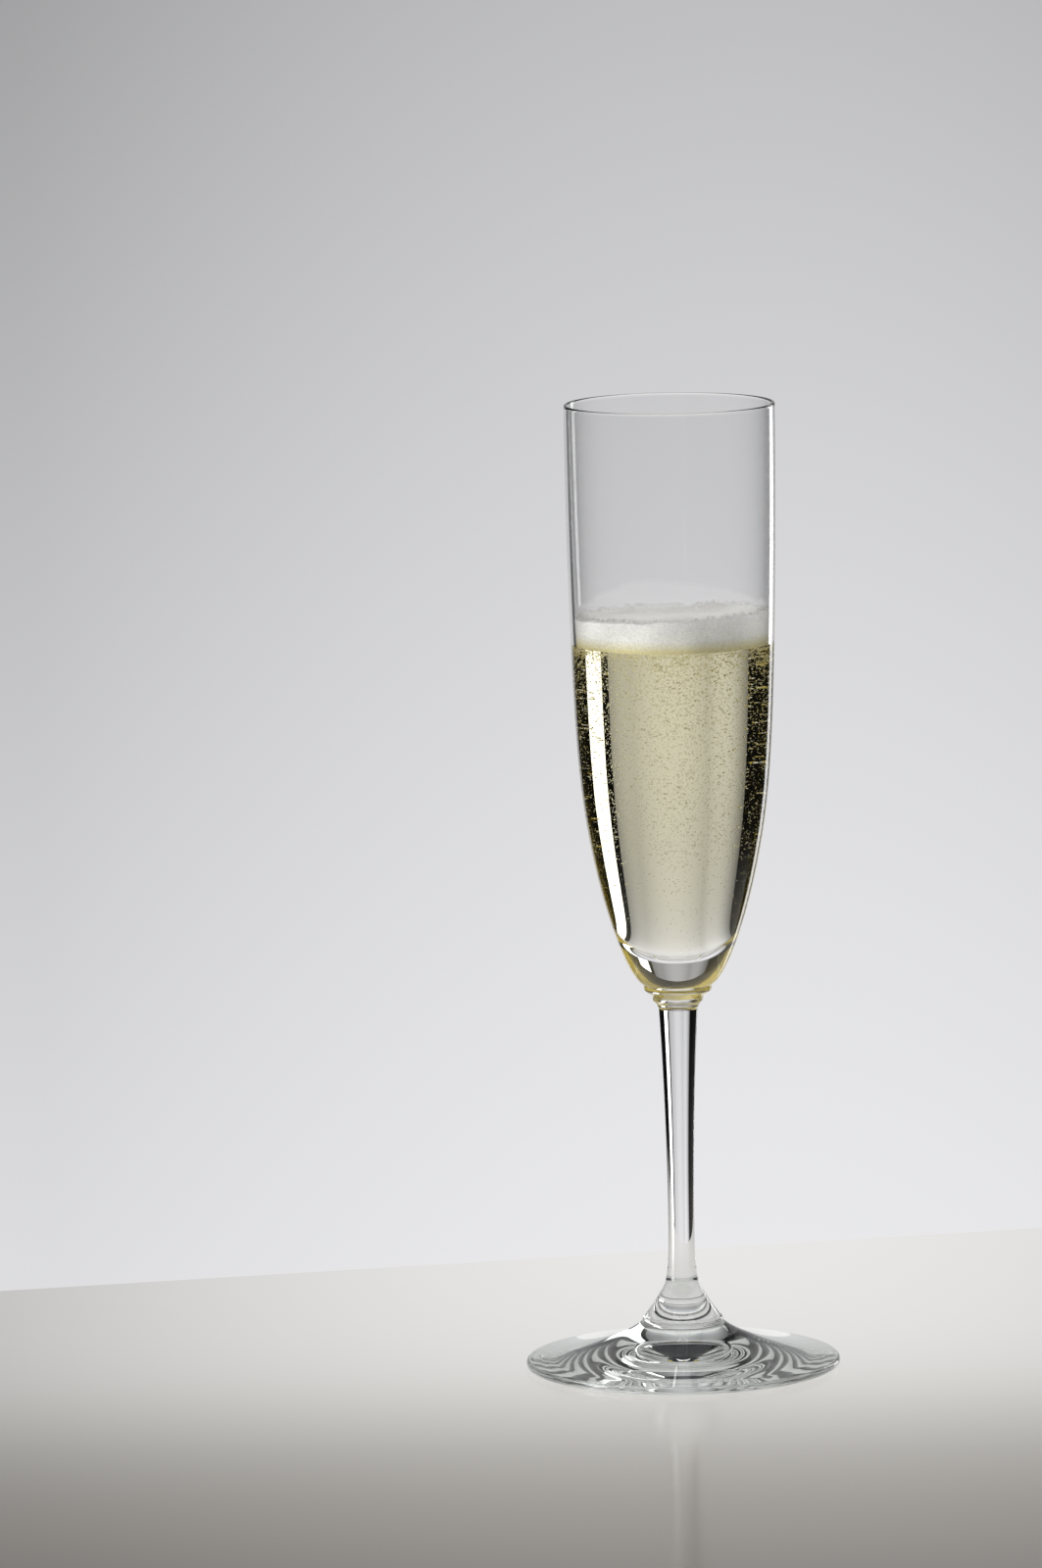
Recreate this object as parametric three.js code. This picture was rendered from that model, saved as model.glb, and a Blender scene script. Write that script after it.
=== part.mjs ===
// Champagne flute, filled: a machine-blown bowl, a collar, a drawn stem, a button and a pressed foot,
// fused end to end, with the champagne in the bowl and the head of foam on it.
// Millimetres, +Z up. The origin is on the table, under the middle of the foot.
// Every glass piece is a body of revolution: its outline is drawn as (radius, height) and turned about Z.

import * as THREE from 'three';

// Foot: a thin disc that rises to a mound in the middle and is slightly hollow underneath.
const footRadius = 36.6;
const footHeight = 9.9;           // table to the top of the mound
const moundShoulder = 0.5;        // how far the mound's flat top shows around the button
const moundRun = 4.6;             // the mound's side starts down in this direction,
const moundDrop = 3.7;
const skirtRun = 12.6;            // and comes in to the edge from this far inside it,
const skirtHeight = 3.5;          // at this height
const footEdgeThickness = 1.8;
const standingRingWidth = 4.2;    // flat ring that the foot stands on
const footHollowDepth = 1.9;

// Button: the flared cone that joins the stem to the foot.
const buttonHeight = 10.2;
const buttonRadius = 9.4;
const buttonLipHeight = 1.6;      // rounded lip around the button's lower edge
const buttonLipBulge = 0.45;
const buttonFlareRun = 2.8;       // the cone's straight side goes in and up by this much
const buttonFlareHeight = 4.7;
const buttonNeckLength = 1.9;     // where the cone bends up into the stem
const buttonNeckSwell = 0.35;     // how much wider than the stem it is there

// Stem: widest under the collar, with its waist in the lower third.
const stemLength = 63.9;
const stemTopRadius = 4.5;
const stemWaistRadius = 3.05;
const stemWaistHeight = 17;       // above the button
const stemFootRadius = 3.8;
const stemTopTaper = 1.8;         // powers of the two flares: higher keeps the stem slim for longer
const stemFootTaper = 4.5;

// Collar: two rings under the bowl.
const collarNeckHeight = 1.75;
const collarNeckSwell = 0.35;     // how much wider than the stem the throat under the rings is
const lowerRingRadius = 5.9;
const lowerRingHeight = 1;
const collarGrooveRadius = 5.6;   // groove between the rings
const collarConeHeight = 1.4;     // cone that carries the upper ring
const bowlOverhang = 0.2;         // how far the bowl's base stands out past the upper ring
const upperRingHeight = 1.6;
const ringBulge = 0.4;            // how far the rounded edge of a ring stands out

// Bowl: nearly straight for its upper two thirds, then closing in to a thick base.
const bowlHeight = 135.25;
const rimRadius = 24.3;
const rimStraight = 10;           // how far down from the rim the wall stays upright
const bellyHeight = 48.6;         // above the collar, where the bowl starts to close in
const bellyRadius = 21.9;
const bellySlope = 0.091;         // millimetres of radius for each millimetre of height, at the belly
const bellySweep = 24.4;          // reach of the curve on each side of the belly
const bowlBaseRadius = 8.1;
const baseFlareInset = 9.5;       // the base spreads from the collar towards a point this far in
const baseFlareHeight = 2.5;
const rimWall = 0.8;
const bellyWall = 1.2;
const bowlBaseThickness = 7.25;   // solid glass between the collar and the cavity
const cavityFloorRadius = 1;      // flat middle of the cavity's floor
const cavityCornerInset = 9.5;    // the cavity's side turns in to its floor this far inside its belly

// Contents.
const fillDepth = 72.6;           // champagne, from the cavity's floor to its surface
const foamThickness = 5.6;
const foamClimb = 1.4;            // how much higher the foam stands at the glass
const foamFillet = 4;             // width of that raised edge
const contentsClearance = 0.3;

// How finely the turned surfaces are divided.
const segmentsAround = 48;
const curveSteps = 9;
const edgeSteps = 4;

// Heights at which the pieces are fused together.
const buttonBase = footHeight;
const stemBase = buttonBase + buttonHeight;
const collarBase = stemBase + stemLength;
const collarHeight = collarNeckHeight + lowerRingHeight + collarConeHeight + upperRingHeight;
const bowlBase = collarBase + collarHeight;
const rimHeight = bowlBase + bowlHeight;
const bellyLevel = bowlBase + bellyHeight;
const cavityFloor = bowlBase + bowlBaseThickness;
const fillLevel = cavityFloor + fillDepth;

// Radii that follow from the pieces they meet.
const moundRadius = buttonRadius + moundShoulder;
const upperRingRadius = bowlBaseRadius - bowlOverhang;

function point(radius, height) {
  return new THREE.Vector2(radius, height);
}

function curve(start, startPull, endPull, end) {
  return new THREE.CubicBezierCurve(start, startPull, endPull, end).getPoints(curveSteps);
}

// Rounded edge from bottom to top: half an ellipse that stands out by bulge and ends at radius.
function roundedEdge(radius, bottom, top, bulge) {
  const middle = (bottom + top) / 2;
  const halfHeight = (top - bottom) / 2;
  const edge = new THREE.EllipseCurve(radius - bulge, middle, bulge, halfHeight, -Math.PI / 2, Math.PI / 2);
  return edge.getPoints(edgeSteps);
}

// Turns an outline, drawn from the axis up around the piece and back to the axis, into a solid.
function turnedPiece(name, outline, material) {
  const distinct = outline.filter((corner, i) => i === 0 || corner.distanceTo(outline[i - 1]) > 1e-6);
  const geometry = new THREE.LatheGeometry(distinct, segmentsAround);
  geometry.rotateX(Math.PI / 2);
  const mesh = new THREE.Mesh(geometry, material);
  mesh.name = name;
  return mesh;
}

function clearGlass() {
  return new THREE.MeshStandardMaterial({
    color: '#e6ece9',
    roughness: 0.03,
    metalness: 0,
    transparent: true,
    opacity: 0.35,
  });
}

function makeFoot() {
  const halfEdge = footEdgeThickness / 2;
  const hollowRadius = footRadius - halfEdge - standingRingWidth;
  const hollow = [];
  for (let i = 0; i <= curveSteps; i += 1) {
    const share = i / curveSteps;
    hollow.push(point(hollowRadius * share, footHollowDepth * (1 - share * share)));
  }
  const top = curve(
    point(footRadius - halfEdge, footEdgeThickness),
    point(footRadius - skirtRun, skirtHeight),
    point(moundRadius + moundRun, footHeight - moundDrop),
    point(moundRadius, footHeight),
  );
  return turnedPiece('foot', [
    ...hollow,
    ...roundedEdge(footRadius, 0, footEdgeThickness, halfEdge),
    ...top,
    point(0, footHeight),
  ], clearGlass());
}

function makeButton() {
  const lipTop = buttonBase + buttonLipHeight;
  const side = curve(
    point(buttonRadius - buttonLipBulge, lipTop),
    point(buttonRadius - buttonFlareRun, buttonBase + buttonFlareHeight),
    point(stemFootRadius + buttonNeckSwell, stemBase - buttonNeckLength),
    point(stemFootRadius, stemBase),
  );
  return turnedPiece('foot_button', [
    point(0, buttonBase),
    ...roundedEdge(buttonRadius, buttonBase, lipTop, buttonLipBulge),
    ...side,
    point(0, stemBase),
  ], clearGlass());
}

// The stem's radius swells from its waist towards each end.
function stemRadiusAt(height) {
  if (height < stemWaistHeight) {
    const share = (stemWaistHeight - height) / stemWaistHeight;
    return stemWaistRadius + (stemFootRadius - stemWaistRadius) * share ** stemFootTaper;
  }
  const share = (height - stemWaistHeight) / (stemLength - stemWaistHeight);
  return stemWaistRadius + (stemTopRadius - stemWaistRadius) * share ** stemTopTaper;
}

function makeStem() {
  const side = [];
  const steps = 2 * curveSteps;
  for (let i = 0; i <= steps; i += 1) {
    const height = stemLength * i / steps;
    side.push(point(stemRadiusAt(height), stemBase + height));
  }
  return turnedPiece('stem', [point(0, stemBase), ...side, point(0, collarBase)], clearGlass());
}

function makeCollar() {
  const lowerRingBase = collarBase + collarNeckHeight;
  const grooveLevel = lowerRingBase + lowerRingHeight;
  const upperRingBase = grooveLevel + collarConeHeight;
  const neck = new THREE.QuadraticBezierCurve(
    point(stemTopRadius, collarBase),
    point(stemTopRadius + collarNeckSwell, collarBase + collarNeckHeight / 2),
    point(lowerRingRadius - ringBulge, lowerRingBase),
  );
  return turnedPiece('bowl_collar', [
    point(0, collarBase),
    ...neck.getPoints(edgeSteps),
    ...roundedEdge(lowerRingRadius, lowerRingBase, grooveLevel, ringBulge),
    point(collarGrooveRadius, grooveLevel),
    ...roundedEdge(upperRingRadius, upperRingBase, bowlBase, ringBulge),
    point(0, bowlBase),
  ], clearGlass());
}

// Side of the bowl from its base to just under the rim, set in from the outside by the wall's thickness.
function bowlSide(start, startPull, wallAtBelly, wallAtRim, lipHeight) {
  const belly = point(bellyRadius - wallAtBelly, bellyLevel);
  const lean = bellySlope * bellySweep;
  const lower = curve(start, startPull, point(belly.x - lean, bellyLevel - bellySweep), belly);
  const rim = rimRadius - wallAtRim;
  const upper = curve(
    belly,
    point(belly.x + lean, bellyLevel + bellySweep),
    point(rim, rimHeight - rimStraight),
    point(rim, rimHeight - lipHeight),
  );
  return [...lower, ...upper];
}

function outerSide() {
  const start = point(bowlBaseRadius, bowlBase);
  const flare = point(bellyRadius - baseFlareInset, bowlBase + baseFlareHeight);
  return bowlSide(start, flare, 0, 0, rimWall / 2);
}

function cavitySide() {
  const start = point(cavityFloorRadius, cavityFloor);
  const corner = point(bellyRadius - bellyWall - cavityCornerInset, cavityFloor);
  return bowlSide(start, corner, bellyWall, rimWall, rimWall / 2);
}

function makeBowl() {
  const halfLip = rimWall / 2;
  const lip = new THREE.EllipseCurve(rimRadius - halfLip, rimHeight - halfLip, halfLip, halfLip, 0, Math.PI);
  return turnedPiece('bowl', [
    point(0, bowlBase),
    ...outerSide(),
    ...lip.getPoints(edgeSteps),
    ...cavitySide().reverse(),
    point(0, cavityFloor),
  ], clearGlass());
}

// Radius of the contents where they stand at a given height in the cavity.
function contentsRadiusAt(height) {
  const side = cavitySide();
  const above = side.findIndex((corner) => corner.y > height);
  const low = side[above - 1];
  const high = side[above];
  const share = (height - low.y) / (high.y - low.y);
  return low.x + (high.x - low.x) * share - contentsClearance;
}

// The cavity's own corners between two heights, brought in by the clearance.
function contentsSide(bottom, top) {
  const between = cavitySide().filter((corner) => corner.y > bottom && corner.y < top);
  return between.map((corner) => point(corner.x - contentsClearance, corner.y));
}

function makeChampagne() {
  const material = new THREE.MeshStandardMaterial({
    color: '#dcd7a8',
    roughness: 0.05,
    metalness: 0,
    transparent: true,
    opacity: 0.6,
  });
  return turnedPiece('champagne', [
    point(0, cavityFloor),
    point(cavityFloorRadius - contentsClearance, cavityFloor),
    ...contentsSide(cavityFloor, fillLevel),
    point(contentsRadiusAt(fillLevel), fillLevel),
    point(0, fillLevel),
  ], material);
}

function makeFoam() {
  const foamTop = fillLevel + foamThickness;
  const edgeTop = foamTop + foamClimb;
  const edgeRadius = contentsRadiusAt(edgeTop);
  const raisedEdge = new THREE.QuadraticBezierCurve(
    point(edgeRadius, edgeTop),
    point(edgeRadius - foamFillet / 4, foamTop),
    point(edgeRadius - foamFillet, foamTop),
  );
  const material = new THREE.MeshStandardMaterial({ color: '#f0efe8', roughness: 0.6, metalness: 0 });
  return turnedPiece('foam', [
    point(0, fillLevel),
    point(contentsRadiusAt(fillLevel), fillLevel),
    ...contentsSide(fillLevel, edgeTop),
    ...raisedEdge.getPoints(edgeSteps),
    point(0, foamTop),
  ], material);
}

const flute = new THREE.Group();
flute.name = 'champagne_flute';
flute.add(makeFoot(), makeButton(), makeStem(), makeCollar(), makeBowl(), makeChampagne(), makeFoam());

export default flute;
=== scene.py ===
import math
import random

import bmesh
import bpy
import numpy as np
from mathutils import Matrix, Vector, noise


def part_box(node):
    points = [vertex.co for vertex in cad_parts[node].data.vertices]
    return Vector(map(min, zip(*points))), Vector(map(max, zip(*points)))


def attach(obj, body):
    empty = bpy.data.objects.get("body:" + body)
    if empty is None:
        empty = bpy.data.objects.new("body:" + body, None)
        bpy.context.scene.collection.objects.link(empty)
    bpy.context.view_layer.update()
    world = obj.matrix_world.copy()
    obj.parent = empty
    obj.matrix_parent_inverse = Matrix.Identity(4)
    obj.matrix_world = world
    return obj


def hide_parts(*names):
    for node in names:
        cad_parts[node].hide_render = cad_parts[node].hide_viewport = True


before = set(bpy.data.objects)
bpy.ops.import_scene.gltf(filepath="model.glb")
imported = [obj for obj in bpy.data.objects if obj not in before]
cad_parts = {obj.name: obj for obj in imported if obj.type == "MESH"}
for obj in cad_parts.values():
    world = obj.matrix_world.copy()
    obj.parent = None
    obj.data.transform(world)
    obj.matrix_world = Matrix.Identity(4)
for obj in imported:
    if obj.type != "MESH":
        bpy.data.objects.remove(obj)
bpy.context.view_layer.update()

mm = 0.001
print("frame loaded:", ", ".join(sorted(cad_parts)))

# levels where the pieces meet, in millimetres, read from the frame
level = {
    "buttonBase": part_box("foot")[1][2] / mm,
    "stemBase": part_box("stem")[0][2] / mm,
    "collarBase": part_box("stem")[1][2] / mm,
    "bowlBase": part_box("bowl")[0][2] / mm,
    "cavityFloor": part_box("champagne")[0][2] / mm,
    "wineTop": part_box("foam")[0][2] / mm,
    "foamEdge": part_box("foam")[1][2] / mm,
    "rim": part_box("bowl")[1][2] / mm,
}


# small tools: colours, nodes, outlines and turned meshes

def linearColour(hexText):
    # an sRGB hex value as the linear colour that Blender works in
    channels = [int(hexText[i:i + 2], 16) / 255 for i in (0, 2, 4)]
    return [c / 12.92 if c <= 0.04045 else ((c + 0.055) / 1.055) ** 2.4 for c in channels] + [1]


def addNode(tree, kind, settings=None, inputs=None):
    # one node with its settings; an input given as an output socket is linked
    node = tree.nodes.new(kind)
    for name, value in (settings or {}).items():
        setattr(node, name, value)
    for name, value in (inputs or {}).items():
        if isinstance(value, bpy.types.NodeSocket):
            tree.links.new(value, node.inputs[name])
        else:
            node.inputs[name].default_value = value
    return node


def newMaterial(name):
    material = bpy.data.materials.new(name)
    material.use_nodes = True
    material.node_tree.nodes.clear()
    return material, material.node_tree


def bezier(points, steps):
    # points along a curve, without its first one, pulled by the inner points
    order = len(points) - 1
    curve = []
    for i in range(1, steps + 1):
        t = i / steps
        pull = [math.comb(order, k) * (1 - t) ** (order - k) * t ** k for k in range(order + 1)]
        curve.append(tuple(sum(w * p[axis] for w, p in zip(pull, points)) for axis in (0, 1)))
    return curve


def arc(centre, radii, fromAngle, toAngle, steps):
    # points along an ellipse, without the first one, angles in degrees
    curve = []
    for i in range(1, steps + 1):
        angle = math.radians(fromAngle + (toAngle - fromAngle) * i / steps)
        curve.append((centre[0] + radii[0] * math.cos(angle), centre[1] + radii[1] * math.sin(angle)))
    return curve


def turned(name, sections, segments=192):
    # turns an outline round the axis; each section is (points in mm, material index)
    mesh = bmesh.new()
    turns = [2 * math.pi * i / segments for i in range(segments)]
    lastRing = None
    for points, index in sections:
        for radius, height in points:
            if radius < 1e-6:
                ring = [mesh.verts.new((0, 0, height * mm))]
            else:
                r = radius * mm
                ring = [mesh.verts.new((r * math.cos(a), r * math.sin(a), height * mm)) for a in turns]
            if lastRing:
                for i in range(segments):
                    corners = [lastRing[i % len(lastRing)], lastRing[(i + 1) % len(lastRing)],
                               ring[(i + 1) % len(ring)], ring[i % len(ring)]]
                    face = mesh.faces.new(list(dict.fromkeys(corners)))
                    face.material_index = index
                    face.smooth = True
            lastRing = ring
    if mesh.calc_volume(signed=True) < 0:
        bmesh.ops.reverse_faces(mesh, faces=mesh.faces)
    data = bpy.data.meshes.new(name)
    mesh.to_mesh(data)
    mesh.free()
    data.set_sharp_from_angle(angle=math.radians(50))
    piece = bpy.data.objects.new(name, data)
    bpy.context.collection.objects.link(piece)
    return piece


def asPiece(piece, materials, node=None):
    # gives a piece its materials and its body, and hides the CAD node it stands for, if one is given
    for material in materials:
        piece.data.materials.append(material)
    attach(piece, "root")
    if node:
        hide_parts(node)
    print("piece:", piece.name, len(piece.data.polygons), "faces")


# camera: somewhat above the rim, a little over two metres away, aimed to the left of the flute.
# Distances are in metres, angles in degrees, and the lens and sensor in millimetres.

camera = {
    "distance": 2.24, "height": 0.458,
    "down": 8.153, "left": 0.909, "roll": -0.981,
    "lens": 224.7, "sensor": 36.0, "clipEnd": 50,
}


def placeCamera():
    data = bpy.data.cameras.new("camera")
    data.lens = camera["lens"]
    data.sensor_fit = "VERTICAL"
    data.sensor_height = camera["sensor"]
    data.clip_end = camera["clipEnd"]
    eye = bpy.data.objects.new("camera", data)
    turn = Matrix.Rotation(math.radians(camera["left"]), 4, "Z")
    tilt = Matrix.Rotation(math.radians(90 - camera["down"]), 4, "X")
    roll = Matrix.Rotation(math.radians(camera["roll"]), 4, "Z")
    eye.rotation_euler = (turn @ tilt @ roll).to_euler()
    eye.location = (0, -camera["distance"], camera["height"])
    bpy.context.collection.objects.link(eye)
    bpy.context.scene.camera = eye
    return eye


# studio: a glossy table in front of a lit backdrop, with a strip light and black flags beside it.
# The whole set turns with the camera, so that every view of the glass has the same light.
# Distances are in metres and angles in degrees from straight behind the flute.

studio = {
    "floorReach": 3, "floorLight": 0.55, "flagBottom": -0.69, "flagTop": 0.75,
    "stripFrom": 26, "stripTo": 37.5, "stripTop": 0.7, "stripLight": 2.3,
    "softboxPlace": (0, -0.15, 1.3), "softboxHalf": (0.6, 0.5), "softboxLight": 1.3,
    "tubePlace": (-0.05, 0, 1.2), "tubeHalf": (0.008, 0.8), "tubeLight": 14.0,
    "aimHeight": 0.15,
}

backdrop = {
    "distance": 1.5, "left": -0.75, "right": 0.62, "bottom": -0.7, "top": 0.95, "columns": 60, "rows": 66,
    "level": 0.86, "glowX": 0.05, "glowZ": -0.44,   # how bright, and where it is brightest
    "fall": 1.1, "fallTop": 0.33,                   # falling off upwards, as far as this height
    "sideFall": 3.25, "sideRise": 5.8, "sideTop": 0.25, "sideLeast": 1.2, "sideReach": 0.3,
    "wingStart": 0.22, "wingRun": 0.12, "wingLift": 0.22,
    "edgeStart": 0.4, "edgeFade": 10,
}


def between(value, low, high):
    return min(high, max(low, value))


def backdropGlow(x, y, z):
    # painted light on the backdrop: brightest low down behind the flute, falling off upwards and to the
    # sides
    b = backdrop
    fall = b["fall"] * (min(z, b["fallTop"]) - b["glowZ"]) ** 2
    steepness = max(b["sideFall"] + b["sideRise"] * min(z, b["sideTop"]), b["sideLeast"])
    sideFall = steepness * min(abs(x - b["glowX"]), b["sideReach"]) ** 2
    # the left wing is lit a little more, and both wings fade towards their edges
    rise = between((-x - b["wingStart"]) / b["wingRun"], 0, 1)
    lift = 1 + b["wingLift"] * rise ** 2 * (3 - 2 * rise)
    edge = math.exp(-b["edgeFade"] * max(0, abs(x) - b["edgeStart"]) ** 2)
    return [b["level"] * math.exp(-fall - sideFall) * lift * edge] * 3 + [1]


def stageMesh(name, corners, faces, material, parent):
    data = bpy.data.meshes.new(name)
    data.from_pydata(corners, [], faces)
    piece = bpy.data.objects.new(name, data)
    data.materials.append(material)
    bpy.context.collection.objects.link(piece)
    piece.parent = parent
    return piece


def glowMaterial(name, colour, strength):
    # an even glow of one colour
    material, tree = newMaterial(name)
    light = addNode(tree, "ShaderNodeEmission", None,
                    {"Color": linearColour(colour), "Strength": strength})
    addNode(tree, "ShaderNodeOutputMaterial", None, {"Surface": light.outputs["Emission"]})
    return material


def glowingGrid(name, corners, columns, material, glowAt, parent):
    # a grid of points, row by row, with the glow at each point stored as a colour
    rows = len(corners) // (columns + 1) - 1
    wide = columns + 1
    faces = [(r * wide + c, r * wide + c + 1, (r + 1) * wide + c + 1, (r + 1) * wide + c)
             for r in range(rows) for c in range(columns)]
    piece = stageMesh(name, corners, faces, material, parent)
    stored = piece.data.color_attributes.new("glow", "FLOAT_COLOR", "POINT")
    for i, corner in enumerate(corners):
        stored.data[i].color = glowAt(*corner)


def storedGlow(tree, colour):
    # the stored glow, tinted
    glow = addNode(tree, "ShaderNodeAttribute", {"attribute_name": "glow"})
    tint = addNode(tree, "ShaderNodeVectorMath", {"operation": "MULTIPLY"},
                   {0: glow.outputs["Color"], 1: linearColour(colour)[:3]})
    return tint.outputs[0]


def backdropPaper():
    # seamless paper, matt white with no sheen: the light from out of view is painted as its own cool white
    # glow, stored at its points and brightest low down behind the flute
    material, tree = newMaterial("white backdrop paper, lit")
    light = addNode(tree, "ShaderNodeEmission", None,
                    {"Color": storedGlow(tree, "fdfdff"), "Strength": 1.0})
    addNode(tree, "ShaderNodeOutputMaterial", None, {"Surface": light.outputs["Emission"]})
    return material


def laminate():
    # white laminate, polished: it mirrors what stands on it, blurred and faint; the light on it is painted,
    # as a glow stored at its points over a dark base colour
    material, tree = newMaterial("white laminate, polished")
    shader = addNode(tree, "ShaderNodeBsdfPrincipled", None,
                     {"Base Color": linearColour("3c3b39"), "Roughness": 0.14, "IOR": 1.2,
                      "Emission Color": storedGlow(tree, "fffefb"), "Emission Strength": 1.0})
    addNode(tree, "ShaderNodeOutputMaterial", None, {"Surface": shader.outputs["BSDF"]})
    return material


def card(name, fromAngle, toAngle, distance, top, material, parent):
    # an upright card, out of view; its angles are positive to the right
    ends = [(distance * math.sin(math.radians(a)), distance * math.cos(math.radians(a)))
            for a in (fromAngle, toAngle)]
    bottom = studio["flagBottom"]
    corners = [(*ends[0], bottom), (*ends[1], bottom), (*ends[1], top), (*ends[0], top)]
    piece = stageMesh(name, corners, [(0, 1, 2, 3)], material, parent)
    piece.visible_camera = False


def panel(name, centre, halfSize, material, parent):
    # a flat light that faces the flute, out of view, given by its centre and half its width and length
    middle = Vector(centre)
    facing = (Vector((0, 0, studio["aimHeight"])) - middle).to_track_quat("Z", "Y").to_matrix()
    w, h = halfSize
    corners = [middle + facing @ Vector(c) for c in ((-w, -h, 0), (w, -h, 0), (w, h, 0), (-w, h, 0))]
    piece = stageMesh(name, corners, [(0, 1, 2, 3)], material, parent)
    piece.visible_camera = False


def makeBackdrop(hub):
    b = backdrop
    corners = [(b["left"] + (b["right"] - b["left"]) * column / b["columns"], b["distance"],
                b["bottom"] + (b["top"] - b["bottom"]) * row / b["rows"])
               for row in range(b["rows"] + 1) for column in range(b["columns"] + 1)]
    glowingGrid("backdrop", corners, b["columns"], backdropPaper(), backdropGlow, hub)


table = {
    "back": 0.14, "slope": 0.232, "half": 1.5, "front": -3.0, "columns": 120, "rows": 120,
    "airGap": 0.03,                                       # millimetres of air under the foot's ring
    "base": 0.14, "centreX": 0.01, "sideFall": 11,
    "nearLight": 0.30, "nearMiddle": -0.06, "nearBlur": 0.03,     # the backdrop's sharper light on it
    "wideLight": 0.24, "wideMiddle": -0.13, "wideBlur": 0.07,     # and its broader light
    "end": 0.28, "endBlur": 0.03, "warmRun": 0.17, "warmGreen": 0.06, "warmBlue": 0.13,
}


def softStep(value, middle, blur):
    # goes from 0 to 1 softly as the value passes the middle
    return 1 / (1 + math.exp(-(value - middle) / blur))


def tableGlow(x, y, z):
    # painted light: bright near the back edge, where the backdrop would light it, and dim towards the front
    # and the sides
    t = table
    side = abs(x - t["centreX"])
    near = t["nearLight"] * softStep(y, t["nearMiddle"], t["nearBlur"])
    wide = t["wideLight"] * softStep(y, t["wideMiddle"], t["wideBlur"])
    ends = softStep(-max(side, -y), -t["end"], t["endBlur"])
    glow = (t["base"] + near + wide) * math.exp(-t["sideFall"] * side ** 2) * ends
    # painted light: warmer towards the front, away from the cool backdrop
    warm = between(-y / t["warmRun"], 0, 1)
    return [glow, glow * (1 - t["warmGreen"] * warm), glow * (1 - t["warmBlue"] * warm), 1]


def makeTable(hub):
    # the grid is finer towards the middle and the back edge, which rises to the right
    t = table
    corners = []
    for row in range(t["rows"] + 1):
        for column in range(t["columns"] + 1):
            across = 2 * column / t["columns"] - 1
            x = t["half"] * across * abs(across)
            back = t["back"] + t["slope"] * x
            y = back + (t["front"] - back) * (row / t["rows"]) ** 2
            corners.append((x, y, -t["airGap"] * mm))
    glowingGrid("table", corners, t["columns"], laminate(), tableGlow, hub)


def makeStudio(eye):
    s = studio
    hub = bpy.data.objects.new("studio", None)
    bpy.context.collection.objects.link(hub)
    follow = hub.constraints.new("COPY_ROTATION")
    follow.target = eye
    follow.use_x = False
    follow.use_y = False
    makeBackdrop(hub)

    # white floor far below the table
    reach, low = s["floorReach"], backdrop["bottom"]
    corners = [(-reach, -reach, low), (reach, -reach, low), (reach, reach, low), (-reach, reach, low)]
    paper = glowMaterial("floor paper", "f4f4f4", s["floorLight"])
    stageMesh("lowerFloor", corners, [(0, 1, 2, 3)], paper, hub)

    # the strip light gives the white stripe down one side of the wine, and the flags its black bands
    black = glowMaterial("black flag felt", "020202", 1.0)
    strip = glowMaterial("strip light", "ffffff", s["stripLight"])
    card("leftFlag", -85, -26.5, 1.2, s["flagTop"], black, hub)
    card("rightGapFlag", 22.5, s["stripFrom"], 1.3, s["flagTop"], black, hub)
    card("rightStrip", s["stripFrom"], s["stripTo"], 1.25, s["stripTop"], strip, hub)
    card("rightFlag", s["stripTo"], 80, 1.2, s["flagTop"], black, hub)

    # a soft light and a thin tube overhead
    softbox = glowMaterial("overhead softbox", "ffffff", s["softboxLight"])
    tube = glowMaterial("thin light tube", "ffffff", s["tubeLight"])
    panel("overheadSoftbox", s["softboxPlace"], s["softboxHalf"], softbox, hub)
    panel("lightTube", s["tubePlace"], s["tubeHalf"], tube, hub)

    makeTable(hub)
    world = bpy.data.worlds.new("studio room")
    world.use_nodes = True
    air = world.node_tree.nodes["Background"]
    air.inputs["Color"].default_value = linearColour("38383a")
    bpy.context.scene.world = world


# glass materials

def crystal(name, ior, waveSize, waveHeight, colour="ffffff"):
    # lead-free crystal, fire-polished: clear and bright, with a faint slow waviness that bends straight
    # lights; the waves are as wide as the given size in millimetres, and 6 to 20 microns high
    material, tree = newMaterial(name)
    place = addNode(tree, "ShaderNodeTexCoord")
    waves = addNode(tree, "ShaderNodeTexNoise", None,
                    {"Vector": place.outputs["Object"], "Scale": 1 / (waveSize * mm), "Detail": 1.0})
    bump = addNode(tree, "ShaderNodeBump", None,
                   {"Height": waves.outputs[0], "Strength": 1.0, "Distance": waveHeight * mm})
    shader = addNode(tree, "ShaderNodeBsdfPrincipled", None,
                     {"Base Color": linearColour(colour), "Roughness": 0.0, "IOR": ior,
                      "Transmission Weight": 1.0, "Normal": bump.outputs["Normal"]})
    addNode(tree, "ShaderNodeOutputMaterial", None, {"Surface": shader.outputs["BSDF"]})
    return material


def fusedJoint():
    # where two gathers of hot glass were joined nothing shows, so the faces between them are clear
    material, tree = newMaterial("fused glass joint")
    clear = addNode(tree, "ShaderNodeBsdfTransparent")
    addNode(tree, "ShaderNodeOutputMaterial", None, {"Surface": clear.outputs["BSDF"]})
    return material


glassIor = 1.52
wineIor = 1.343

joint = fusedJoint()
blownCrystal = crystal("crystal, blown and fire-polished", glassIor, 18, 0.006)
# where wine wets the wall, light passes from wine to glass, so the bending there is weaker
wettedCrystal = crystal("crystal, blown, wetted by wine", glassIor / wineIor, 18, 0.006)
drawnCrystal = crystal("crystal, drawn and fire-polished", glassIor, 9, 0.012)
pressedCrystal = crystal("crystal, pressed and fire-polished", glassIor, 12, 0.02, "f6faf8")


# foot: a low mound on a wide skirt, hollow underneath, standing on a ring

foot = {
    "radius": 36.6, "edge": 1.8, "ringWidth": 4.2,
    "hollowDepth": 1.9, "hollowRound": 2.2, "hollowEase": 1.3,     # eased into the ring
    "moundRun": 4.6, "moundDrop": 3.7, "moundShoulder": 0.5,
    "skirtRun": 11.7, "skirtHeight": 3.5,
}


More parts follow.
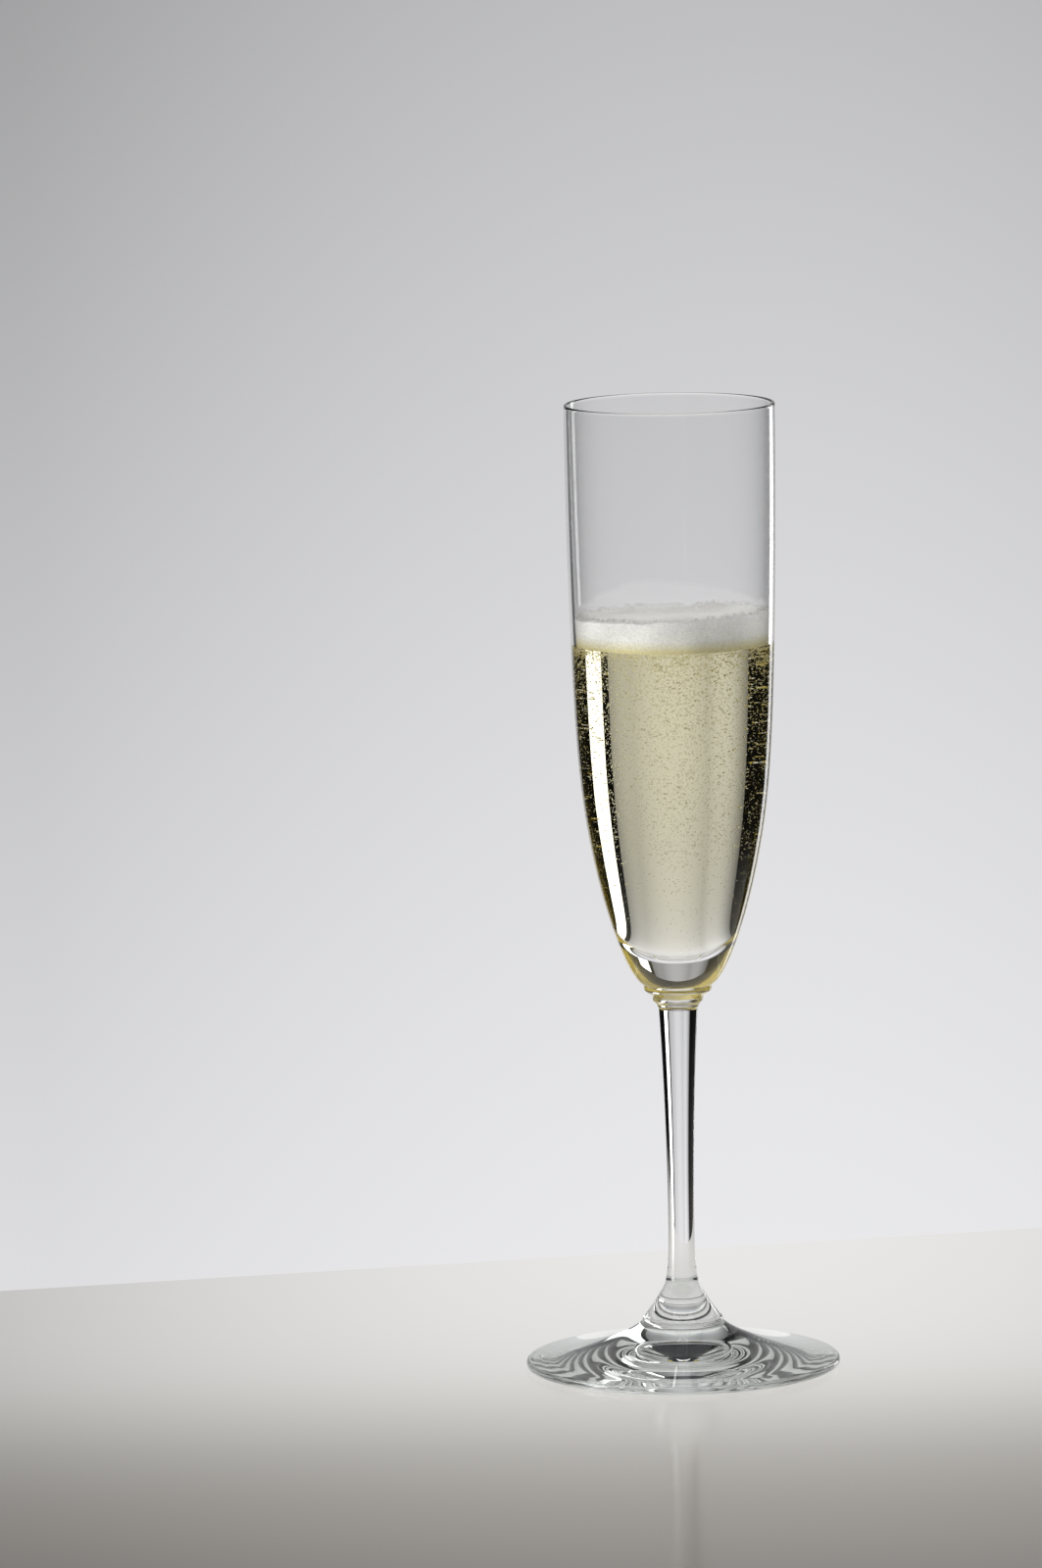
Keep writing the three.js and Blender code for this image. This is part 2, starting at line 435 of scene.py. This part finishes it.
def makeFoot():
    top = level["buttonBase"]
    edgeRadius = foot["edge"] / 2
    flat = foot["radius"] - edgeRadius
    hollow = flat - foot["ringWidth"]
    mound = button["radius"] + foot["moundShoulder"]
    jointRadius = button["radius"] - button["lipBulge"]
    steps = 40
    under = []
    for i in range(steps + 1):
        share = i / steps
        rise = (1 - share ** foot["hollowRound"]) ** foot["hollowEase"]
        under.append((hollow * share, foot["hollowDepth"] * rise))
    edge = arc((flat, edgeRadius), (edgeRadius, edgeRadius), -90, 90, 12)
    skirt = bezier([(flat, foot["edge"]), (flat - foot["skirtRun"], foot["skirtHeight"]),
                    (mound + foot["moundRun"], top - foot["moundDrop"]), (mound, top)], 48)
    outside = under + [(flat, 0)] + edge + skirt + [(jointRadius, top)]
    piece = turned("glassFoot", [(outside, 0), ([(0, top)], 1)], 256)
    asPiece(piece, [pressedCrystal, joint], "foot")


# button: the flared cone with a rounded lip that joins the stem to the foot

button = {
    "radius": 9.4, "lipHeight": 1.6, "lipBulge": 0.45,
    "flareRun": 2.8, "flareHeight": 4.7,
    "neckLength": 1.9, "neckSwell": 0.35,
}


def makeButton():
    base, top = level["buttonBase"], level["stemBase"]
    inner = button["radius"] - button["lipBulge"]
    lipTop = base + button["lipHeight"]
    halfLip = button["lipHeight"] / 2
    lip = arc((inner, base + halfLip), (button["lipBulge"], halfLip), -90, 90, 12)
    neck = stem["footRadius"]
    flare = bezier([(inner, lipTop), (button["radius"] - button["flareRun"], base + button["flareHeight"]),
                    (neck + button["neckSwell"], top - button["neckLength"]), (neck, top)], 32)
    piece = turned("glassButton", [([(0, base), (inner, base)], 1), (lip + flare, 0), ([(0, top)], 1)])
    asPiece(piece, [drawnCrystal, joint], "foot_button")


# stem: drawn out of the bowl's gather, thinnest in its lower third

stem = {
    "topRadius": 4.5, "waistRadius": 3.05, "footRadius": 3.8,
    "waistHeight": 17, "topTaper": 1.8, "footTaper": 4.5,
}


def makeStem():
    base, top = level["stemBase"], level["collarBase"]
    waist = base + stem["waistHeight"]
    thin = stem["waistRadius"]
    steps = 64
    side = []
    for i in range(steps + 1):
        z = base + (top - base) * i / steps
        if z < waist:
            share = (waist - z) / (waist - base)
            radius = thin + (stem["footRadius"] - thin) * share ** stem["footTaper"]
        else:
            share = (z - waist) / (top - waist)
            radius = thin + (stem["topRadius"] - thin) * share ** stem["topTaper"]
        side.append((radius, z))
    piece = turned("glassStem", [([(0, base), side[0]], 1), (side[1:], 0), ([(0, top)], 1)])
    asPiece(piece, [drawnCrystal, joint], "stem")


# collar: two rings, one above the other, under the bowl

collar = {
    "neckHeight": 1.75, "neckSwell": 0.35,
    "lowerRing": 5.9, "lowerHeight": 1.0, "groove": 5.6, "coneHeight": 1.4,
    "upperRing": 7.9, "upperHeight": 1.6, "bulge": 0.4,
}


def makeCollar():
    base, top = level["collarBase"], level["bowlBase"]
    lowerBase = base + collar["neckHeight"]
    lowerTop = lowerBase + collar["lowerHeight"]
    upperBase = lowerTop + collar["coneHeight"]
    bulge = collar["bulge"]
    waist = collar["lowerRing"] - bulge
    upper = collar["upperRing"] - bulge
    thin = stem["topRadius"]
    throat = (thin + collar["neckSwell"], (base + lowerBase) / 2)
    neck = bezier([(thin, base), throat, (waist, lowerBase)], 10)
    lower = arc((waist, (lowerBase + lowerTop) / 2), (bulge, collar["lowerHeight"] / 2), -90, 90, 10)
    ring = arc((upper, (upperBase + top) / 2), (bulge, collar["upperHeight"] / 2), -90, 90, 12)
    side = neck + lower + [(collar["groove"], lowerTop), (upper, upperBase)] + ring
    piece = turned("glassCollar", [([(0, base), (thin, base)], 1), (side, 0), ([(0, top)], 1)])
    asPiece(piece, [drawnCrystal, joint], "bowl_collar")


# bowl: blown, with thin walls and a thick base; "slope" is how much the side leans at the belly,
# and "sweep" is how far that lean is felt up and down

bowl = {
    "rimRadius": 24.3, "rimStraight": 10, "rimWall": 0.8,
    "bellyRadius": 21.9, "bellyHeight": 48.6, "bellyWall": 1.2, "slope": 0.091, "sweep": 24.4,
    "baseRadius": 8.1, "flareInset": 9.5, "flareHeight": 2.5,
    "floorRadius": 1.0, "cornerInset": 9.5,
}


def bowlSide(start, pull, wallAtBelly, wallAtRim, steps=64):
    # the outline of one face of the wall, from its base up to the rim
    bellyLevel = level["bowlBase"] + bowl["bellyHeight"]
    belly = bowl["bellyRadius"] - wallAtBelly
    rim = bowl["rimRadius"] - wallAtRim
    lean = bowl["slope"] * bowl["sweep"]
    rimEnd = level["rim"] - bowl["rimWall"] / 2
    lower = bezier([start, pull, (belly - lean, bellyLevel - bowl["sweep"]), (belly, bellyLevel)], steps)
    upper = bezier([(belly, bellyLevel), (belly + lean, bellyLevel + bowl["sweep"]),
                    (rim, level["rim"] - bowl["rimStraight"]), (rim, rimEnd)], steps)
    return lower + upper


def cavitySide():
    # the cavity's outline, from its floor up to the rim
    floor = (bowl["floorRadius"], level["cavityFloor"])
    pull = (bowl["bellyRadius"] - bowl["bellyWall"] - bowl["cornerInset"], level["cavityFloor"])
    return [floor] + bowlSide(floor, pull, bowl["bellyWall"], bowl["rimWall"])


def radiusAt(outline, height):
    # the outline's radius at a height
    heights = [p[1] for p in outline]
    radii = [p[0] for p in outline]
    return float(np.interp(height, heights, radii))


def makeBowl():
    base = level["bowlBase"]
    baseEdge = (bowl["baseRadius"], base)
    halfRim = bowl["rimWall"] / 2
    pull = (bowl["bellyRadius"] - bowl["flareInset"], base + bowl["flareHeight"])
    outer = bowlSide(baseEdge, pull, 0, 0)
    lip = arc((bowl["rimRadius"] - halfRim, level["rim"] - halfRim), (halfRim, halfRim), 0, 180, 12)
    inner = cavitySide()
    wineLine = (radiusAt(inner, level["wineTop"]), level["wineTop"])
    dry = [p for p in reversed(inner) if p[1] > level["wineTop"]] + [wineLine]
    wetted = [p for p in reversed(inner) if p[1] < level["wineTop"]] + [(0, level["cavityFloor"])]
    piece = turned("glassBowl", [([(0, base), (collar["upperRing"] - collar["bulge"], base)], 1),
                                 ([baseEdge] + outer + lip + dry[1:], 0), (wetted, 2)], 256)
    asPiece(piece, [blownCrystal, joint, wettedCrystal], "bowl")


# champagne: the wetted wall of the bowl bends the light as wine does, so the wine only tints it

champagne = {"gap": 0.05}


def champagneMaterial():
    # filtered white wine: perfectly clear, and deeper straw where more of it is looked through
    material, tree = newMaterial("champagne, filtered, pale straw")
    shader = addNode(tree, "ShaderNodeBsdfPrincipled", None,
                     {"Base Color": linearColour("ffffff"), "Roughness": 0.0, "IOR": 1.0,
                      "Transmission Weight": 1.0})
    tint = addNode(tree, "ShaderNodeVolumeAbsorption", None,
                   {"Color": linearColour("fdf07a"), "Density": 12.0})
    addNode(tree, "ShaderNodeOutputMaterial", None,
            {"Surface": shader.outputs["BSDF"], "Volume": tint.outputs["Volume"]})
    return material


def makeChampagne():
    inner = cavitySide()
    top = level["wineTop"]
    gap = champagne["gap"]
    floor = level["cavityFloor"] + gap
    side = [(p[0] - gap, max(p[1], floor)) for p in inner if p[1] < top]
    side.append((radiusAt(inner, top) - gap, top))
    piece = turned("wine", [([(0, floor)] + side + [(0, top)], 0)], 256)
    asPiece(piece, [champagneMaterial()], "champagne")


# bubbles: some rise in a plume from the floor, most hang under the foam, and some sit on the wall

bubbles = {
    "seed": 7, "rising": 2450, "fine": 9500, "onWall": 2300,
    "smallest": 0.08, "largest": 0.22, "sizeBias": 1.8,                    # radii in millimetres
    "plumeShare": 0.2, "plumeX": 2.0, "plumeBottom": 0.8, "plumeWidth": 1.6, "plumeSpread": 6.5,
    "topClear": 0.5, "lowClear": 8, "risingBias": 1.9, "risingGap": 0.4,
    "fineDepth": 50, "fineClear": 0.2, "fineSmallest": 0.06, "fineMore": 0.08, "fineGap": 0.15,
    "wallLow": 112, "wallSmallest": 0.1, "wallMore": 0.2, "wallGap": 0.12,
}


def bubbleMaterial():
    # gas in wine: the light bends the other way round at its skin, so each ball has a bright middle
    # and a dark edge
    material, tree = newMaterial("carbon dioxide bubble in wine")
    shader = addNode(tree, "ShaderNodeBsdfPrincipled", None,
                     {"Base Color": linearColour("ffffff"), "Roughness": 0.0, "IOR": 1 / wineIor,
                      "Transmission Weight": 1.0})
    addNode(tree, "ShaderNodeOutputMaterial", None, {"Surface": shader.outputs["BSDF"]})
    return material


def spheres(name, places, subdivisions=2):
    # many small balls in one mesh; each place is (x, y, z, radius) in millimetres
    ball = bmesh.new()
    bmesh.ops.create_icosphere(ball, subdivisions=subdivisions, radius=1)
    unit = np.array([v.co[:] for v in ball.verts])
    corners = np.array([[v.index for v in f.verts] for f in ball.faces])
    ball.free()
    points = np.concatenate([unit * p[3] + np.array(p[:3]) for p in places]) * mm
    faces = np.concatenate([corners + i * len(unit) for i in range(len(places))])
    data = bpy.data.meshes.new(name)
    data.from_pydata(points.tolist(), [], faces.tolist())
    data.shade_smooth()
    piece = bpy.data.objects.new(name, data)
    bpy.context.collection.objects.link(piece)
    return piece


def bubbleAt(x, y, z, size, gap, inner):
    # pulled in where it would touch the glass
    reach = radiusAt(inner, z) - gap - size
    shrink = min(1, reach / max(math.hypot(x, y), 0.01))
    return (x * shrink, y * shrink, z, size)


def around(z, share, inner, dice):
    # a place at this share of the cavity's radius, in any direction
    turn = dice.uniform(0, 2 * math.pi)
    r = radiusAt(inner, z) * share
    return r * math.cos(turn), r * math.sin(turn)


def makeBubbles():
    b = bubbles
    dice = random.Random(b["seed"])
    inner = cavitySide()
    floor, top = level["cavityFloor"], level["wineTop"]
    depth = top - floor

    rising = []
    for i in range(b["rising"]):
        size = b["smallest"] + (b["largest"] - b["smallest"]) * dice.random() ** b["sizeBias"]
        if dice.random() < b["plumeShare"]:
            # they grow and drift apart as they rise
            share = dice.random() ** 0.9
            z = floor + b["plumeBottom"] + (depth - 2) * share
            spread = b["plumeWidth"] + b["plumeSpread"] * share
            x, y = b["plumeX"] + dice.gauss(0, spread), dice.gauss(0, spread)
            size *= 0.55 + 0.45 * share
        else:
            share = dice.random() ** b["risingBias"]
            z = top - b["topClear"] - (depth - b["lowClear"]) * share
            x, y = around(z, math.sqrt(dice.random()), inner, dice)
            size *= 1 - 0.4 * share
        rising.append(bubbleAt(x, y, z, size, b["risingGap"], inner))

    fine = []
    for i in range(b["fine"]):
        z = top - b["fineClear"] - b["fineDepth"] * dice.random() ** 2
        x, y = around(z, math.sqrt(dice.random()), inner, dice)
        size = b["fineSmallest"] + b["fineMore"] * dice.random()
        fine.append(bubbleAt(x, y, z, size, b["fineGap"], inner))

    onWall = []
    for i in range(b["onWall"]):
        share = dice.random() ** 3
        z = top - b["topClear"] - (top - b["wallLow"]) * share
        x, y = around(z, 1, inner, dice)
        size = b["wallSmallest"] + b["wallMore"] * dice.random() ** 1.3 * (1 - 0.5 * share)
        onWall.append(bubbleAt(x, y, z, size, b["wallGap"], inner))

    skin = bubbleMaterial()
    asPiece(spheres("risingBubbles", rising), [skin])
    asPiece(spheres("fineBubbles", fine, 1), [skin])
    asPiece(spheres("wallBubbles", onWall), [skin])


# foam: a head of fine bubbles, white and translucent, higher where it climbs the glass

foam = {
    "gap": 0.08, "clear": 0.05, "climb": 1.4, "climbBias": 5, "edgeRound": 1.2,
    "cell": 0.9, "cellHeight": 0.2, "cellReach": 0.6,       # the uneven domes of its bubbles
    "swell": 0.7, "swellWidth": 6, "tilt": 1.1, "inset": 0.12, "sink": 0.2,
    "topDepth": 2.2, "topBlend": 1.2,                       # only this much at the top is lifted
    "segments": 320, "topRings": 70, "sideRings": 14, "bottomRings": 24,
    "seed": 11, "beads": 520, "beadSmallest": 0.14, "beadLargest": 0.55, "beadBias": 2.6,
    "beadBand": 0.9, "beadLift": 0.3,
}

# the froth's cells and bumps, the patches of its painted glow, the x span in mm over which that glow fades
# from its bright -X side, and how far light scatters in it
froth = {"pore": 0.55, "poreDepth": 0.25, "patch": 16, "litSideFrom": -14, "litSideTo": 9, "scatter": 4}


def mapped(tree, value, low, high, atLow, atHigh, soft=False):
    # a value's range turned into another range
    settings = {"interpolation_type": "SMOOTHSTEP"} if soft else None
    node = addNode(tree, "ShaderNodeMapRange", settings,
                   {"Value": value, "From Min": low, "From Max": high, "To Min": atLow, "To Max": atHigh})
    return node.outputs[0]


def frothMaterial():
    # a wet froth of cells about half a millimetre wide: white, matt and translucent, and straw-coloured
    # at the bottom, where it is wettest
    f = froth
    material, tree = newMaterial("champagne foam, painted glow")
    place = addNode(tree, "ShaderNodeTexCoord").outputs["Object"]
    cells = addNode(tree, "ShaderNodeTexVoronoi", None, {"Vector": place, "Scale": 1 / (f["pore"] * mm)})
    bump = addNode(tree, "ShaderNodeBump", {"invert": True},
                   {"Height": cells.outputs["Distance"], "Strength": 0.9, "Distance": f["poreDepth"] * mm})
    split = addNode(tree, "ShaderNodeSeparateXYZ", None, {0: place})
    height = mapped(tree, split.outputs["Z"], level["wineTop"] * mm, level["foamEdge"] * mm, 0.0, 1.0)
    tone = addNode(tree, "ShaderNodeValToRGB", None, {"Fac": height})
    stops = tone.color_ramp.elements
    stops[0].color = linearColour("cfc48c")
    stops[1].color = linearColour("f4f3ef")
    for stop, colour in ((0.16, "e2dcbb"), (0.42, "f4f3ec")):
        stops.new(stop).color = linearColour(colour)

    # painted light: the froth glows on its own, on top of the real light scattered through it; the painted
    # glow is stronger on its side than on its top and on its -X side than on its +X side, it is patchy, and
    # it is darker between the cells as painted shade
    patches = addNode(tree, "ShaderNodeTexNoise", None,
                      {"Vector": place, "Scale": 1 / (f["patch"] * mm), "Detail": 1.0})
    surface = addNode(tree, "ShaderNodeNewGeometry")
    facing = addNode(tree, "ShaderNodeSeparateXYZ", None, {0: surface.outputs["Normal"]})
    paintedLitSide = mapped(tree, split.outputs["X"], f["litSideFrom"] * mm, f["litSideTo"] * mm, 1.0, 0.53, soft=True)
    side = mapped(tree, facing.outputs["Z"], 0.5, 0.98, paintedLitSide, 0.42)
    patchyGlow = mapped(tree, patches.outputs[0], 0.35, 0.65, 0.75, 1.1)
    cellShade = mapped(tree, cells.outputs["Distance"], 0.1, 0.75, 1.05, 0.82)
    glow = addNode(tree, "ShaderNodeMath", {"operation": "MULTIPLY"}, {0: side, 1: patchyGlow}).outputs[0]
    spotted = addNode(tree, "ShaderNodeMath", {"operation": "MULTIPLY"}, {0: glow, 1: cellShade}).outputs[0]
    shader = addNode(tree, "ShaderNodeBsdfPrincipled", None,
                     {"Base Color": tone.outputs["Color"], "Roughness": 0.5, "IOR": 1.2,
                      "Subsurface Weight": 1.0, "Subsurface Radius": (1, 0.97, 0.9),
                      "Subsurface Scale": f["scatter"] * mm,
                      "Emission Color": tone.outputs["Color"], "Emission Strength": spotted,
                      "Normal": bump.outputs["Normal"]})
    addNode(tree, "ShaderNodeOutputMaterial", None, {"Surface": shader.outputs["BSDF"]})
    return material


def filmMaterial():
    # a skin of wine round gas: clear face on, and denser and greyer towards its edge; a faint painted glow
    # lightens it
    material, tree = newMaterial("bubble film of wine")
    edge = addNode(tree, "ShaderNodeLayerWeight", None, {"Blend": 0.35})
    cover = mapped(tree, edge.outputs["Facing"], 0.3, 1.0, 0.05, 0.75)
    shader = addNode(tree, "ShaderNodeBsdfPrincipled", None,
                     {"Base Color": linearColour("f2f1ec"), "Roughness": 0.08, "IOR": 1.34,
                      "Emission Color": linearColour("f2f1ec"), "Emission Strength": 0.16, "Alpha": cover})
    addNode(tree, "ShaderNodeOutputMaterial", None, {"Surface": shader.outputs["BSDF"]})
    return material


def foamLift(x, y):
    # how far the top of the foam rises or dips, in millimetres
    width = foam["swellWidth"]
    slow = foam["swell"] * noise.noise(Vector((x / width, y / width, 3)))
    return slow + foam["tilt"] * (0.5 * x - 0.85 * y) / bowl["rimRadius"]


def foamTopAt(r, highRadius):
    # height of the smooth top at a distance from the axis, before it is lifted
    share = min(1, r / (highRadius - foam["edgeRound"]))
    return level["foamEdge"] - foam["climb"] * (1 - share ** foam["climbBias"])


def foamOutline(lowRadius, highRadius, base):
    rounding = foam["edgeRound"]
    shoulderBase = level["foamEdge"] - rounding / 2
    flat = highRadius - rounding
    outline = []
    for i in range(foam["bottomRings"] + 1):
        outline.append((lowRadius * i / foam["bottomRings"], base))
    for i in range(1, foam["sideRings"] + 1):
        share = i / foam["sideRings"]
        outline.append((lowRadius + (highRadius - lowRadius) * share, base + (shoulderBase - base) * share))
    outline += arc((flat, shoulderBase), (rounding, rounding / 2), 0, 90, 8)
    for i in range(1, foam["topRings"] + 1):
        r = flat * (1 - i / foam["topRings"])
        outline.append((r, foamTopAt(r, highRadius)))
    return outline


def roughen(piece, base):
    # domes for the foam's bubbles: they stand up on its top, and on its side they come out to the glass
    for vertex in piece.data.vertices:
        x, y, z = (c / mm for c in vertex.co)
        r = math.hypot(x, y)
        if z < base + 0.2:
            continue
        distances, _ = noise.voronoi(Vector((x, y, z)) / foam["cell"])
        dome = foam["cellHeight"] * (foam["cellReach"] - min(distances[0], foam["cellReach"]))
        onTop = between((z - (level["foamEdge"] - foam["topDepth"])) / foam["topBlend"], 0, 1)
        vertex.co.z += onTop * (foamLift(x, y) + dome * 2 - foam["sink"]) * mm
        if r > 1:
            outward = (dome - foam["inset"]) * (1 - onTop)
            vertex.co.x += outward * x / r * mm
            vertex.co.y += outward * y / r * mm


def makeFoam():
    inner = cavitySide()
    base = level["wineTop"] + foam["clear"]
    lowRadius = radiusAt(inner, base) - foam["gap"]
    highRadius = radiusAt(inner, level["foamEdge"]) - foam["gap"]
    piece = turned("foamHead", [(foamOutline(lowRadius, highRadius, base), 0)], foam["segments"])
    roughen(piece, base)
    asPiece(piece, [frothMaterial()], "foam")

    # bigger bubbles gather where the foam meets the glass
    dice = random.Random(foam["seed"])
    beads = []
    for i in range(foam["beads"]):
        more = (foam["beadLargest"] - foam["beadSmallest"]) * dice.random() ** foam["beadBias"]
        size = foam["beadSmallest"] + more
        turn = dice.uniform(0, 2 * math.pi)
        away = highRadius - 0.05 - size - abs(dice.gauss(0, foam["beadBand"]))
        x, y = away * math.cos(turn), away * math.sin(turn)
        height = foamTopAt(away, highRadius) + foamLift(x, y) + foam["beadLift"] * size
        beads.append((x, y, height, size))
    asPiece(spheres("foamBeads", beads, 3), [filmMaterial()])


eye = placeCamera()
makeStudio(eye)
print("studio ready")
makeFoot()
makeButton()
makeStem()
makeCollar()
makeBowl()
makeChampagne()
makeBubbles()
makeFoam()

scene = bpy.context.scene
scene.view_settings.view_transform = "Standard"
# light goes through many skins of glass, and is turned back inside the foot many times
scene.cycles.max_bounces = 96
scene.cycles.transmission_bounces = 64
scene.cycles.glossy_bounces = 64
scene.cycles.transparent_max_bounces = 64
scene.cycles.diffuse_bounces = 8
scene.cycles.sample_clamp_indirect = 4
